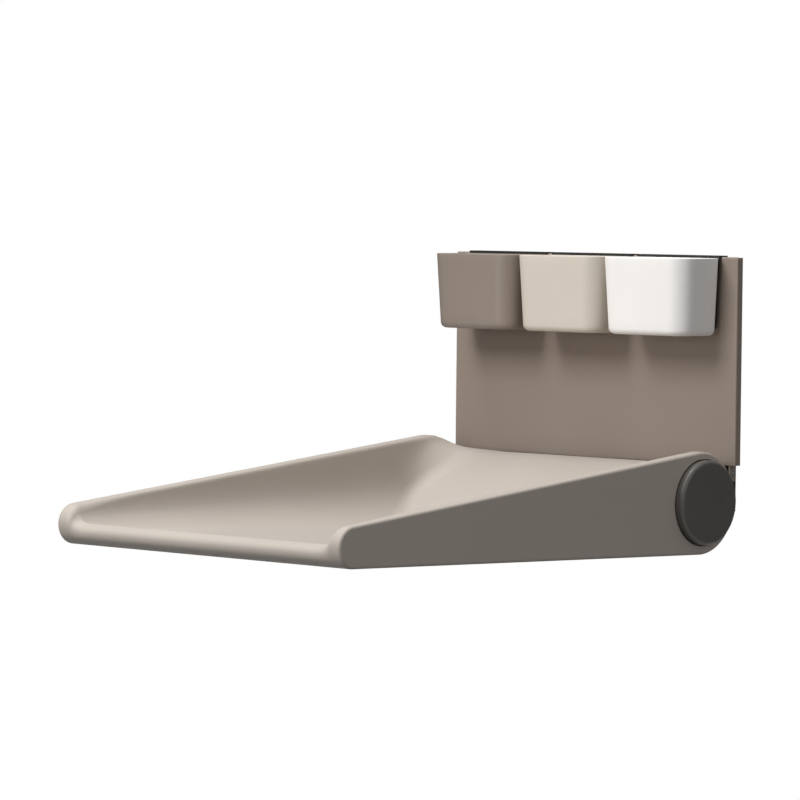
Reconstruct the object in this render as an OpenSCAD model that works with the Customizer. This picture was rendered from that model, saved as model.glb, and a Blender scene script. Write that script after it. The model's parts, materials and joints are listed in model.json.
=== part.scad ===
// Wall-mounted fold-up changing table: steel wall bracket and back panel, a moulded tray that
// folds up about a pivot on each side, and storage boxes hooked over the panel's top edge.
// Millimetres. X runs left to right, Y runs towards the wall, Z is up.
// The origin is the centre of the wall screw holes, on the wall plane.

/* [Overall] */
// width of the tray over its side walls
tray_width = 582; // [540:1:640]
// distance from the pivot to the centre of the tray's front end
tray_reach = 739; // [640:0.5:800]
// distance of the pivot from the wall
pivot_out = 92; // [90:0.5:110]
// height of the wall holes' centre above the pivot
pivot_drop = 180; // [170:1:200]
// the panel is narrower than the tray by this much
panel_less = 2; // [0:0.5:8]
// height of the back panel
panel_height = 314; // [300:1:360]

/* [Tray] */
// radius of the tray's round rear end
end_radius = 77; // [75:0.5:82]
// the rear end's centre lies this far in front of the pivot
end_ahead = 3; // [1:0.5:6]
// the rear end's centre lies this far below the pivot
end_below = 1.4; // [0:0.1:3]
// radius of the tray's round front end
nose_radius = 30; // [26:0.5:36]
// the front of the tray is raised by this angle
tray_tilt = 1.36; // [0:0.02:3]
// thickness of the tray's floor
floor_thick = 19.3; // [18:0.1:24]
// width of the tray's rim along the sides
rim_width = 20; // [18:0.5:26]
// radius of the hollow between floor and side walls
dish_radius = 90; // [80:1:100]
// radius of the hollow between floor and rear slope
slope_radius = 150; // [120:1:180]
// the rear slope starts this far in front of the pivot
slope_start = 165; // [150:1:200]
// height of the rear edge above the pivot
edge_height = 55; // [50:0.5:60]
// the rear edge lies this far behind the pivot
edge_behind = 37; // [30:0.5:42]
// radius of the hollow behind the front lip
lip_hollow = 185; // [120:1:240]
// rounding on top of the front lip
lip_round = 12; // [8:0.5:12.5]
// width of each shoulder beside the opening at the rear edge
shoulder_width = 86; // [76:1:100]

/* [Hinge] */
// thickness of the hinge arms
arm_thick = 6; // [5:0.5:8]
// the arms' outer faces lie this far inside the tray's sides
arm_inset = 14; // [13:0.5:18]
// half the height of an arm
arm_half = 11; // [9:0.5:12]
// an arm slopes down to the wall by this angle
arm_drop = 17; // [15:0.5:20]
// largest fold angle the slot in the tray allows
fold_angle = 88; // [80:1:90]
// radius of the pivot journals
journal_radius = 9.95; // [8:0.05:11]
// running clearance of the journals, on the radius
journal_gap = 0.05; // [0.02:0.01:0.1]
// radius of the side caps
cap_radius = 63.5; // [60:0.1:68]
// the side caps stand this far outside the tray's sides
cap_proud = 13.5; // [8:0.5:20]
// radius of the rotary dampers
damper_radius = 38; // [30:1:44]

/* [Panel and boxes] */
// thickness of the panel's sheet
sheet = 1.5; // [1:0.1:2]
// depth of the panel's folded edges
panel_depth = 12; // [10:0.5:13]
// the panel's front face lies this far from the wall
panel_out = 18; // [17:0.5:20]
// thickness of the wall plate
plate_thick = 3; // [2:0.5:4]
// half the spacing of the wall holes across
hole_half_x = 200; // [180:1:220]
// half the spacing of the wall holes in height
hole_half_z = 80; // [70:1:90]
// radius of the wall holes
hole_radius = 4.5; // [3.5:0.1:5.5]
// gap between two storage boxes
box_gap = 6; // [4:0.5:20]
// depth of a storage box at its rim
box_depth = 90; // [75:1:92]
// height of a storage box
box_height = 117; // [100:1:125]
// the row of boxes ends this far inside the tray's sides
box_row_inset = 30; // [26:1:40]
// wall thickness of a storage box
box_wall = 2.5; // [2:0.1:3.5]
// a box's walls lean in by this much from rim to base
box_draft = 6; // [3:0.5:9]
// corner radius of a box seen from above
box_corner = 30; // [22:1:34]

/* [Hidden] */
$fn = 96;
hull_facets = 32;
eps = 0.01;
half_w = tray_width / 2;
pivot_z = -pivot_drop;
rear_c = [-end_ahead, -end_below];
base_z = -end_below - end_radius;
nose_c = [-tray_reach, base_z + nose_radius];
span = norm(nose_c - rear_c);
lean = atan2(rear_c[1] - nose_c[1], rear_c[0] - nose_c[0]);
taper = asin((end_radius - nose_radius) / span);
rim_dir = 90 + lean + taper;
floor_z = base_z + floor_thick;
dish_half = half_w - rim_width;
dish_z = floor_z + dish_radius;
lip_z = nose_c[1];
lip_in = sqrt(pow(lip_hollow, 2) - pow(lip_hollow - lip_z + floor_z, 2));
lip_cy = nose_c[0] - sqrt(pow(nose_radius, 2) - 2 * nose_radius * lip_round);
lip_back = nose_c[0] - lip_round / 2;
slope_c = [-slope_start, floor_z + slope_radius];
edge = [edge_behind, edge_height];
slope_len = norm(edge - slope_c);
slope_dir = atan2(edge[1] - slope_c[1], edge[0] - slope_c[0]) - acos(slope_radius / slope_len);
shoulder_half = half_w - shoulder_width;
slope_end = slope_c + slope_radius * [cos(slope_dir), sin(slope_dir)];
lip_side = 48;
shoulder_front = -72;
far = 900;
arm_out = half_w - arm_inset;
arm_in = arm_out - arm_thick;
slot_play = 2;
slot_out = arm_out + slot_play;
slot_in = arm_in - slot_play;
slot_half = arm_half + slot_play;
hub_radius = 36;
slot_hub = damper_radius + 3;
sweep_len = 150;
recess_radius = cap_radius + 1.7;
cap_wall = 4;
cap_round = 6;
cap_low = slot_out + 2;
cap_top = half_w + cap_proud;
stud_radius = 4;
stud_deep = 8;
stud_ring = 54;
stud_angles = [125, 195, 265];
bush_out = journal_radius + 2.5;
bush_flange = bush_out + 4;
tube_radius = 14;
tube_bore = 11;
tube_half = slot_in - 11;
plug_long = 60;
collar_end = slot_in - 0.4;
bush_flange_thick = 1.4;
damper_thick = 10;
damper_flange = 3;
damper_end = arm_out + damper_thick;
damper_screw_ring = 31;
damper_screw_angles = [100, 220];
damper_body = damper_screw_ring - 7;
washer_low = damper_end + 0.3;
washer_thick = 1.5;
washer_radius = 16;
clip_low = washer_low + washer_thick;
clip_thick = 1.2;
clip_rim = 3;
clip_gap = 3;
groove_radius = journal_radius - 1.45;
shaft_end = clip_low + clip_thick + 1;
rail_x = half_w - 159;
rail_half = 13;
rail_high = 10;
rail_back = 20;
pan_thick = 2;
pan_half = half_w - 76;
pan_rear = 60;
pan_front = 690;
gusset_half = 3;
gusset_ring = 18.5;
gusset_long = 85;
gusset_foot = -35;
gusset_lift = 6;
pan_screw_count = 4;
pan_screw_in = 14;
pan_screw_end = 16;
pan_screw_head = 4.5;
pan_screw_long = 13;
pan_screw_pitch = (pan_front - pan_rear - 2 * pan_screw_end) / (pan_screw_count - 1);
pad_thick = 3;
stop_gap = 0.4;
stop_top = -arm_half - stop_gap;
stop_low = stop_top - 10;
stop_from = 40;
stop_to = 64;
stop_in = arm_in;
stop_out = arm_out + 1;
stop_screw_radius = 1.5;
stop_screw_head = 3;
stop_screw_head_high = 1.6;
stop_screw_long = 20;
stop_screw_up = 3.5;
stop_screw_ys = [stop_from + 6, stop_to - 6];
plate_half = arm_out;
plate_low = pivot_z - 18;

cheek_top = 25;
cheek_front = pivot_out - plate_thick - 10;
foot_thick = 6;
foot_wide = 62;
foot_in = arm_out - foot_wide;
foot_low = -18;
bolt_radius = 4;
bolt_head = 7;
bolt_head_high = 4.5;
bolt_xs = [foot_in + 14, foot_in + 42];
bolt_up = 4;
screw_radius = 2;
screw_head = 3.8;
screw_head_high = 2.2;
ear_out = 14;
ear_screw_out = 9;
lug_gap = 3;
lug_screw_head = 4;
hanger_wide = 40;
hanger_out = 12.5;
hanger_floor = 2;
hanger_lip = 1.5;
hanger_high = 22.4;
rail_strip = 24;
rail_fold = 10;
rail_drop = 14;
panel_z0 = pivot_z + 52;
panel_z1 = panel_z0 + panel_height;
panel_width = tray_width - panel_less;
panel_half = panel_width / 2;
plate_top = panel_z1 - 66;
lug_low = pivot_z + 27;
lug_high = panel_z0 + 8;
lug_in = plate_half;
lug_mid = (lug_low + panel_z0) / 2;
rail_zs = [panel_z0 + 40, panel_z1 - 90];
hanger_half = 170;
hook_xs = [-120, 120];
box_pitch = (tray_width + box_gap - 2 * box_row_inset) / 3;
box_width = box_pitch - box_gap;
hook_top = panel_z1 + 2;
box_top = panel_z1 - 2;
box_low = box_top - box_height;
box_rear = -panel_out - 5;
box_front = box_rear - box_depth;
hook_thick = 1.5;
hook_half = box_width / 2 - 3;
hook_lean = 5;
hook_low = box_low + 12;
hook_back = -3.2;
hook_drop = 22;
rivet_x = 45;
rivet_radius = 2;
rivet_head = 4;
rivet_head_high = 1;
rivet_hole = 2.1;
rivet_z = box_top - 22;
bumper_radius = 5;
bumper_gap = 0.4;
bumper_z = box_low + 20;
box_foot = 9;
box_slice_high = 0.2;

// ---------------------------------------------------------------- shared construction

// extrudes a shape drawn in Y and Z along X, from a to b
module along_x(a, b) {
    translate([a, 0, 0])
        rotate([90, 0, 90])
            linear_extrude(height = b - a)
                children();
}

// moves children from the pivot axis to their place
module at_pivot() {
    translate([0, -pivot_out, pivot_z])
        children();
}

// the tray's own frame: origin on the pivot axis, underside level
module in_tray() {
    at_pivot()
        rotate([-tray_tilt, 0, 0])
            children();
}

// draws children on the right and mirrored on the left
module both_sides() {
    children();
    mirror([1, 0, 0])
        children();
}

// a rod along X from a to b
module rod(a, b, r) {
    translate([a, 0, 0])
        rotate([0, 90, 0])
            cylinder(h = b - a, r = r);
}

// ---------------------------------------------------------------- wall side

// flat steel plate against the wall with its bent ears for the panel's screws
module wall_plate() {
    color("#26241f")
        difference() {
            union() {
                translate([-plate_half, -plate_thick, plate_low])
                    cube([2 * plate_half, plate_thick, plate_top - plate_low]);
                both_sides()
                    translate([plate_half - plate_thick, -ear_out, lug_low + 1])
                        cube([plate_thick, ear_out - plate_thick + eps, panel_z0 - lug_low - lug_gap]);
            }
            for (x = [-hole_half_x, hole_half_x])
                for (z = [-hole_half_z, hole_half_z])
                    translate([x, eps, z])
                        rotate([90, 0, 0])
                            cylinder(h = plate_thick + 2 * eps, r = hole_radius);
            both_sides()
                for (x = bolt_xs)
                    translate([x, eps, pivot_z + bolt_up])
                        rotate([90, 0, 0])
                            cylinder(h = plate_thick + 2 * eps, r = bolt_radius);
            both_sides()
                translate([plate_half - plate_thick - eps, -ear_screw_out, lug_mid])
                    rotate([0, 90, 0])
                        cylinder(h = plate_thick + 2 * eps, r = screw_radius);
        }
}

// hooks on the wall plate that carry the panel's rails
module hanger_hooks() {
    color("#26241f")
        for (z = rail_zs)
            for (x = hook_xs)
                translate([x - hanger_wide / 2, -hanger_out, z]) {
                    cube([hanger_wide, hanger_out - plate_thick, hanger_floor]);
                    cube([hanger_wide, hanger_lip, hanger_high]);
                }
}

// outline of an arm in Y and Z about the pivot
module arm_outline() {
    circle(r = hub_radius);
    rotate(-arm_drop)
        translate([0, -arm_half])
            square([cheek_front / cos(arm_drop), 2 * arm_half]);
    polygon([
        [cheek_front - arm_half / 2, -cheek_front * tan(arm_drop)],
        [cheek_front - slot_play, -cheek_front * tan(arm_drop) - arm_half],
        [cheek_front + slot_play, -cheek_front * tan(arm_drop) - arm_half],
        [pivot_out - plate_thick, foot_low],
        [pivot_out - plate_thick, cheek_top],
        [cheek_front, cheek_top],
        [cheek_front, 0]
    ]);
}

// one hinge arm with the foot that bolts to the wall plate
module hinge_arm() {
    at_pivot()
        difference() {
            union() {
                along_x(arm_in, arm_out)
                    arm_outline();
                translate([foot_in, pivot_out - plate_thick - foot_thick, foot_low])
                    cube([foot_wide, foot_thick, cheek_top - foot_low]);
            }
            rod(arm_in - eps, arm_out + eps, bush_out);
            for (a = damper_screw_angles)
                rotate([a, 0, 0])
                    translate([0, damper_screw_ring, 0])
                        rod(arm_in - eps, arm_out + eps, screw_radius);
            for (x = bolt_xs)
                translate([x, pivot_out - plate_thick + eps, bolt_up])
                    rotate([90, 0, 0])
                        cylinder(h = foot_thick + 2 * eps, r = bolt_radius);
        }
}

module hinge_arm_right() {
    color("#26241f")
        hinge_arm();
}

module hinge_arm_left() {
    color("#26241f")
        mirror([1, 0, 0])
            hinge_arm();
}

// bolts from the arms' feet into the wall plate
module arm_bolts() {
    color("#8d8f90")
        both_sides()
            for (x = bolt_xs)
                translate([x, 0, pivot_z + bolt_up])
                    rotate([90, 0, 0]) {
                        cylinder(h = plate_thick + foot_thick, r = bolt_radius);
                        translate([0, 0, plate_thick + foot_thick])
                            cylinder(h = bolt_head_high, r = bolt_head);
                    }
}

// flanged plain bearing in an arm
module pivot_bush() {
    at_pivot()
        difference() {
            union() {
                rod(arm_in, arm_out, bush_out);
                rod(arm_in - bush_flange_thick, arm_in, bush_flange);
            }
            rod(arm_in - slot_play, arm_out + 1, journal_radius + journal_gap);
        }
}

module pivot_bush_right() {
    color("#d9d6c9")
        pivot_bush();
}

module pivot_bush_left() {
    color("#d9d6c9")
        mirror([1, 0, 0])
            pivot_bush();
}

// rotary damper that slows the tray, fixed to an arm
module damper() {
    at_pivot()
        difference() {
            union() {
                rod(arm_out, damper_end, damper_body);
                rod(arm_out, arm_out + damper_flange, damper_radius);
            }
            rod(arm_out - 1, damper_end + 1, journal_radius + journal_gap);
            for (a = damper_screw_angles)
                rotate([a, 0, 0])
                    translate([0, damper_screw_ring, 0])
                        rod(arm_out - 1, arm_out + damper_flange + 1, screw_radius);
        }
}

module damper_right() {
    color("#2f3032")
        damper();
}

module damper_left() {
    color("#2f3032")
        mirror([1, 0, 0])
            damper();
}

// screws that hold the dampers
module damper_screws() {
    color("#8d8f90")
        both_sides()
            at_pivot()
                for (a = damper_screw_angles)
                    rotate([a, 0, 0])
                        translate([0, damper_screw_ring, 0]) {
                            rod(arm_out + damper_flange, arm_out + damper_flange + screw_head_high,
                                screw_head);
                            rod(arm_in, arm_out + damper_flange, screw_radius);
                        }
}

// ---------------------------------------------------------------- back panel

// folded sheet panel: front face, top and side edges, lugs at the lower corners
module back_panel() {
    color("#8c7f75")
        difference() {
            union() {
                translate([-panel_half, -panel_out, panel_z0])
                    cube([panel_width, sheet, panel_height]);
                translate([-panel_half, -panel_out, panel_z1 - sheet])
                    cube([panel_width, panel_depth, sheet]);
                both_sides()
                    translate([panel_half - sheet, -panel_out, panel_z0])
                        cube([sheet, panel_depth, panel_height]);
                both_sides()
                    translate([lug_in, -panel_out, lug_low])
                        cube([sheet, panel_out - lug_gap, lug_high - lug_low]);
            }
            both_sides()
                translate([lug_in - eps, -ear_screw_out, lug_mid])
                    rotate([0, 90, 0])
                        cylinder(h = sheet + 2 * eps, r = screw_radius);
        }
}

// folded rails on the panel's rear that drop over the wall plate's hooks
module panel_rails() {
    color("#8c7f75")
        for (z = rail_zs)
            translate([-hanger_half, 0, z]) {
                translate([0, -panel_out + sheet, 0])
                    cube([2 * hanger_half, sheet, rail_strip]);
                translate([0, -panel_out + sheet, rail_strip - sheet])
                    cube([2 * hanger_half, rail_fold, sheet]);
                translate([0, -panel_out + rail_fold, rail_strip - rail_drop])
                    cube([2 * hanger_half, sheet, rail_drop]);
            }
}

// one small screw through each lug into the wall plate's ear
module panel_screws() {
    color("#8d8f90")
        both_sides()
            translate([0, -ear_screw_out, lug_mid]) {
                rod(lug_in - plate_thick, lug_in + sheet, screw_radius);
                rod(lug_in + sheet, lug_in + sheet + screw_head_high, lug_screw_head);
            }
}

// ---------------------------------------------------------------- tray

// side outline of the tray: a large round rear end tapering to a small round front end
module tray_outline() {
    translate(rear_c)
        circle(r = end_radius);
    translate(nose_c)
        circle(r = nose_radius);
    polygon([
        rear_c + end_radius * [cos(rim_dir), sin(rim_dir)],
        nose_c + nose_radius * [cos(rim_dir), sin(rim_dir)],
        nose_c + nose_radius * [0, -1],
        rear_c + end_radius * [0, -1]
    ]);
}

// side outline of the hollow: open over the lip, level floor, slope up to the rear edge
module dish_side() {
    polygon([
        [-far, lip_z],
        [lip_back, lip_z],
        [lip_back + lip_in, floor_z],
        [-slope_start, floor_z],
        slope_end,
        edge,
        [far / 6, edge[1]],
        [far / 6, far / 6],
        [-far, far / 6]
    ]);
    intersection() {
        translate([lip_back + lip_in, floor_z + lip_hollow])
            circle(r = lip_hollow, $fn = 180);
        translate([lip_back, floor_z])
            square([lip_in, lip_z - floor_z]);
    }
    intersection() {
        translate(slope_c)
            circle(r = slope_radius, $fn = 180);
        translate([-slope_start, floor_z])
            square([slope_end[0] + slope_start, slope_end[1] - floor_z]);
    }
}

// the hollow's cross section, drawn in X and Z
module dish_section() {
    translate([-dish_half + dish_radius, floor_z])
        square([2 * (dish_half - dish_radius), far / 4]);
    for (s = [-1, 1])
        translate([s * (dish_half - dish_radius), dish_z])
            circle(r = dish_radius, $fn = 180);
    translate([-dish_half, dish_z])
        square([2 * dish_half, far / 4]);
}

// outline of the hollow from above, narrowing to the opening between the rear shoulders
module dish_plan() {
    polygon([
        [-dish_half - 1, -far],
        [dish_half + 1, -far],
        [dish_half + 1, shoulder_front],
        [shoulder_half, edge[0]],
        [shoulder_half, far / 6],
        [-shoulder_half, far / 6],
        [-shoulder_half, edge[0]],
        [-dish_half - 1, shoulder_front]
    ]);
}

// the whole hollow that the child lies in
module dish() {
    intersection() {
        along_x(-half_w, half_w)
            dish_side();
        translate([0, far / 6, 0])
            rotate([90, 0, 0])
                linear_extrude(height = far * 7 / 6)
                    dish_section();
        translate([0, 0, -far / 9])
            linear_extrude(height = far / 3)
                dish_plan();
    }
}

// rounding that turns the front of the floor into a lip
module lip_cut() {
    along_x(lip_side - dish_half, dish_half - lip_side)
        difference() {
            translate([-far, lip_z - lip_round * 5 / 3])
                square([far + lip_cy, lip_round * 5 / 3 + eps]);
            translate([lip_cy, lip_z - lip_round])
                circle(r = lip_round);
            polygon([
                [lip_cy + eps, lip_z - lip_round],
                nose_c,
                nose_c + 1.2 * (nose_radius / (nose_radius - lip_round))
                    * ([lip_cy, lip_z - lip_round] - nose_c),
                [lip_cy + eps, lip_z - 2 * nose_radius]
            ]);
        }
}

// slot in one side of the tray that the arm sweeps through as the tray folds
module arm_slot() {
    along_x(slot_in, slot_out + eps) {
        circle(r = slot_hub);
        for (a = [-arm_drop, fold_angle - arm_drop])
            rotate(a)
                translate([0, -slot_half])
                    square([sweep_len, 2 * slot_half]);
        polygon([
            [0, 0],
            sweep_len * [cos(-arm_drop), sin(-arm_drop)],
            sweep_len * 1.3 * [cos(fold_angle / 2 - arm_drop), sin(fold_angle / 2 - arm_drop)],
            sweep_len * [cos(fold_angle - arm_drop), sin(fold_angle - arm_drop)]
        ]);
    }
}

// pocket for the stop block below the arm
module stop_space() {
    along_x(stop_in, slot_out + eps)
        rotate(-arm_drop)
            translate([stop_from, stop_low])
                square([stop_to - stop_from, slot_half]);
}

// moulded foam tray with its side recesses, slots and the cavities round its steel frame
module tray_shell() {
    color("#bdb5aa")
        difference() {
            in_tray()
                difference() {
                    along_x(-half_w, half_w)
                        tray_outline();
                    dish();
                    lip_cut();
                    frame_space();
                }
            both_sides()
                at_pivot() {
                    rod(slot_out, half_w + 1, recess_radius);
                    arm_slot();
                    stop_space();
                    for (a = stud_angles)
                        rotate([a, 0, 0])
                            translate([0, stud_ring, 0])
                                rod(slot_out - stud_deep, slot_out + 1, stud_radius);
                    for (s = stop_screw_ys)
                        rotate([-arm_drop, 0, 0])
                            translate([0, s, stop_low + stop_screw_up])
                                rod(stop_in - stop_screw_long, stop_in + 1, stop_screw_radius);
                }
            at_pivot()
                rod(-slot_in - eps, slot_in + eps, tube_radius);
        }
}

// room for the steel frame inside the floor
module frame_space() {
    rails();
    gussets();
    pan();
    screw_bodies();
}

module rails() {
    for (x = [-rail_x, rail_x])
        translate([x - rail_half, -pan_front + rail_back, base_z + pan_thick])
            cube([2 * rail_half, pan_front - pan_rear - rail_back, rail_high]);
}

module gussets() {
    for (x = [-rail_x, rail_x])
        along_x(x - gusset_half, x + gusset_half)
            difference() {
                union() {
                    circle(r = gusset_ring);
                    polygon([
                        [gusset_ring - 1, 0],
                        [-gusset_ring, gusset_lift],
                        [gusset_foot - gusset_long, base_z + pan_thick + rail_high],
                        [gusset_foot, base_z + pan_thick + rail_high]
                    ]);
                }
                circle(r = tube_radius);
            }
}

module pan() {
    translate([-pan_half, -pan_front, base_z])
        cube([2 * pan_half, pan_front - pan_rear, pan_thick]);
}

module screw_bodies() {
    for (x = [-pan_half + pan_screw_in, pan_half - pan_screw_in])
        for (k = [0:pan_screw_count - 1])
            translate([x, -pan_rear - pan_screw_end - k * pan_screw_pitch, base_z]) {
                cylinder(h = pan_thick, r = pan_screw_head);
                cylinder(h = pan_screw_long, r = screw_radius);
            }
}

// steel tube across the tray on the pivot axis
module torque_tube() {
    color("#8d8f90")
        at_pivot()
            difference() {
                rod(-tube_half, tube_half, tube_radius);
                rod(-tube_half - 1, tube_half + 1, tube_bore);
            }
}

// steel bars in the floor
module frame_rails() {
    color("#8d8f90")
        in_tray()
            rails();
}

// plates that join the bars to the tube
module frame_gussets() {
    color("#8d8f90")
        in_tray()
            gussets();
}

// flush cover under the tray
module under_pan() {
    color("#6f675f")
        in_tray()
            difference() {
                pan();
                screw_bodies();
            }
}

// flush screws of the cover
module pan_screws() {
    color("#8d8f90")
        in_tray()
            screw_bodies();
}

// stub shaft: pressed into the tube, collar, journal, groove for the clip
module pivot_shaft() {
    at_pivot()
        difference() {
            union() {
                rod(tube_half - plug_long, tube_half + 1, tube_bore);
                rod(tube_half, collar_end, tube_radius);
                rod(collar_end - 1, shaft_end, journal_radius);
            }
            difference() {
                rod(clip_low, clip_low + clip_thick, journal_radius + 1);
                rod(clip_low - 1, clip_low + clip_thick + 1, groove_radius);
            }
        }
}

module pivot_shaft_right() {
    color("#c3c5c6")
        pivot_shaft();
}

module pivot_shaft_left() {
    color("#c3c5c6")
        mirror([1, 0, 0])
            pivot_shaft();
}

// washers outside the dampers
module pivot_washers() {
    color("#c3c5c6")
        both_sides()
            at_pivot()
                difference() {
                    rod(washer_low, clip_low, washer_radius);
                    rod(washer_low - 1, clip_low + 1, journal_radius);
                }
}

// spring clips in the shafts' grooves
module pivot_clips() {
    color("#3c3d3e")
        both_sides()
            at_pivot()
                difference() {
                    rod(clip_low, clip_low + clip_thick, journal_radius + clip_rim);
                    rod(clip_low - 1, clip_low + clip_thick + 1, groove_radius);
                    translate([clip_low - 1, 0, -clip_gap / 2])
                        cube([clip_thick + 2, 2 * journal_radius, clip_gap]);
                }
}

// steel blocks that rest on the arms' lower edges when the tray is down
module stop_blocks() {
    color("#8d8f90")
        both_sides()
            at_pivot()
                difference() {
                    along_x(stop_in, stop_out)
                        rotate(-arm_drop)
                            translate([stop_from, stop_low])
                                square([stop_to - stop_from, stop_top - pad_thick - stop_low]);
                    for (s = stop_screw_ys)
                        rotate([-arm_drop, 0, 0])
                            translate([0, s, stop_low + stop_screw_up])
                                rod(stop_in - 1, stop_out + 1, stop_screw_radius);
                }
}

// rubber pads on the stop blocks
module stop_pads() {
    color("#1f1f1f")
        both_sides()
            at_pivot()
                along_x(stop_in, stop_out)
                    rotate(-arm_drop)
                        translate([stop_from, stop_top - pad_thick])
                            square([stop_to - stop_from, pad_thick]);
}

// screws through the stop blocks into the tray
module stop_screws() {
    color("#8d8f90")
        both_sides()
            at_pivot()
                for (s = stop_screw_ys)
                    rotate([-arm_drop, 0, 0])
                        translate([0, s, stop_low + stop_screw_up]) {
                            rod(stop_in - stop_screw_long, stop_out, stop_screw_radius);
                            rod(stop_out, stop_out + stop_screw_head_high, stop_screw_head);
                        }
}

// round side cap: a shallow cup with a rounded edge and studs on the inside
module cap() {
    at_pivot() {
        rotate([0, 90, 0])
            rotate_extrude()
                difference() {
                    union() {
                        translate([0, cap_low])
                            square([cap_radius, cap_top - cap_low - cap_round]);
                        translate([0, cap_low])
                            square([cap_radius - cap_round, cap_top - cap_low]);
                        translate([cap_radius - cap_round, cap_top - cap_round])
                            intersection() {
                                circle(r = cap_round);
                                square([cap_round, cap_round]);
                            }
                    }
                    translate([-1, cap_low - 1])
                        square([cap_radius - cap_wall + 1, cap_top - cap_low - cap_wall + 1]);
                }
        for (a = stud_angles)
            rotate([a, 0, 0])
                translate([0, stud_ring, 0])
                    rod(slot_out - stud_deep, cap_top - cap_wall + 1, stud_radius);
    }
}

module cap_right() {
    color("#3a3833")
        cap();
}

module cap_left() {
    color("#3a3833")
        mirror([1, 0, 0])
            cap();
}

// ---------------------------------------------------------------- storage boxes

// rounded rectangle, thin, as one end of a box's body
module box_slice(half_x, y0, y1, r, z) {
    translate([0, 0, z])
        linear_extrude(height = box_slice_high)
            hull() {
                for (s = [-1, 1]) {
                    translate([s * (half_x - r), y0 + r])
                        circle(r = r, $fn = hull_facets);
                    translate([s * (half_x - r / 3), y1 - r / 3])
                        circle(r = r / 3, $fn = hull_facets);
                }
            }
}

// body of a box, made smaller all round by t
module box_body(t, up) {
    hull() {
        box_slice(box_width / 2 - t, box_front + t, box_rear - t, box_corner - t,
            box_top - box_slice_high + up);
        box_slice(box_width / 2 - box_draft - t, box_front + box_draft + t, box_rear - t,
            box_corner - t, box_low + box_foot + t);
        box_slice(box_width / 2 - box_draft - t - box_foot, box_front + box_draft + t + box_foot,
            box_rear - t - box_foot, box_corner - t - box_foot, box_low + t);
    }
}

// one storage box about X = 0
module storage_box() {
    difference() {
        box_body(0, 0);
        box_body(box_wall, 1);
        for (x = [-rivet_x, rivet_x])
            translate([x, box_rear + 1, rivet_z])
                rotate([90, 0, 0])
                    cylinder(h = box_wall + 2, r = rivet_hole, $fn = hull_facets);
    }
}

// one hook plate: down the box's rear, over the panel's edge and down behind it
module box_hook() {
    difference() {
        union() {
            translate([0, box_rear + hook_thick, 0])
                rotate([90, 0, 0])
                    linear_extrude(height = hook_thick)
                        polygon([
                            [-hook_half, hook_top],
                            [hook_half, hook_top],
                            [hook_half - hook_lean, hook_low],
                            [hook_lean - hook_half, hook_low]
                        ]);
            translate([-hook_half, box_rear, hook_top - hook_thick])
                cube([2 * hook_half, hook_back - box_rear, hook_thick]);
            translate([-hook_half, hook_back - hook_thick, hook_top - hook_drop])
                cube([2 * hook_half, hook_thick, hook_drop]);
        }
        for (x = [-rivet_x, rivet_x])
            translate([x, box_rear + hook_thick + eps, rivet_z])
                rotate([90, 0, 0])
                    cylinder(h = hook_thick + 2 * eps, r = rivet_radius);
    }
}

// rivets through hook and box
module box_rivets() {
    for (x = [-rivet_x, rivet_x])
        translate([x, box_rear + hook_thick + rivet_head_high, rivet_z])
            rotate([90, 0, 0]) {
                cylinder(h = rivet_head_high, r = rivet_head);
                cylinder(h = hook_thick + box_wall + 2 * rivet_head_high, r = rivet_radius);
                translate([0, 0, hook_thick + box_wall + rivet_head_high])
                    cylinder(h = rivet_head_high, r = rivet_head);
            }
}

// soft bumpers that keep the box off the panel
module box_bumpers() {
    for (x = [-rivet_x, rivet_x])
        translate([x, -panel_out - bumper_gap, bumper_z])
            rotate([90, 0, 0])
                cylinder(h = -panel_out - bumper_gap - box_rear - hook_thick, r = bumper_radius);
}

module box_left() {
    color("#85786e")
        translate([-box_pitch, 0, 0])
            storage_box();
}

module box_middle() {
    color("#cfc8bc")
        storage_box();
}

module box_right() {
    color("#ece9e5")
        translate([box_pitch, 0, 0])
            storage_box();
}

module hook_left() {
    color("#26241f")
        translate([-box_pitch, 0, 0])
            box_hook();
}

module hook_middle() {
    color("#26241f")
        box_hook();
}

module hook_right() {
    color("#26241f")
        translate([box_pitch, 0, 0])
            box_hook();
}

module rivets_left() {
    color("#8d8f90")
        translate([-box_pitch, 0, 0])
            box_rivets();
}

module rivets_middle() {
    color("#8d8f90")
        box_rivets();
}

module rivets_right() {
    color("#8d8f90")
        translate([box_pitch, 0, 0])
            box_rivets();
}

module bumpers_left() {
    color("#1f1f1f")
        translate([-box_pitch, 0, 0])
            box_bumpers();
}

module bumpers_middle() {
    color("#1f1f1f")
        box_bumpers();
}

module bumpers_right() {
    color("#1f1f1f")
        translate([box_pitch, 0, 0])
            box_bumpers();
}

// ---------------------------------------------------------------- parts

wall_plate();
hanger_hooks();
hinge_arm_left();
hinge_arm_right();
arm_bolts();
pivot_bush_left();
pivot_bush_right();
damper_left();
damper_right();
damper_screws();
back_panel();
panel_rails();
panel_screws();
tray_shell();
torque_tube();
frame_rails();
frame_gussets();
under_pan();
pan_screws();
pivot_shaft_left();
pivot_shaft_right();
pivot_washers();
pivot_clips();
stop_blocks();
stop_pads();
stop_screws();
cap_left();
cap_right();
box_left();
box_middle();
box_right();
hook_left();
hook_middle();
hook_right();
rivets_left();
rivets_middle();
rivets_right();
bumpers_left();
bumpers_middle();
bumpers_right();
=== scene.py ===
"""Wall-mounted fold-up changing table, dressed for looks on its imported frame."""
import json
from math import asin, atan2, cos, hypot, pi, radians, sin
import bmesh
import bpy
import numpy as np
from mathutils import Matrix, Vector


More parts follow.
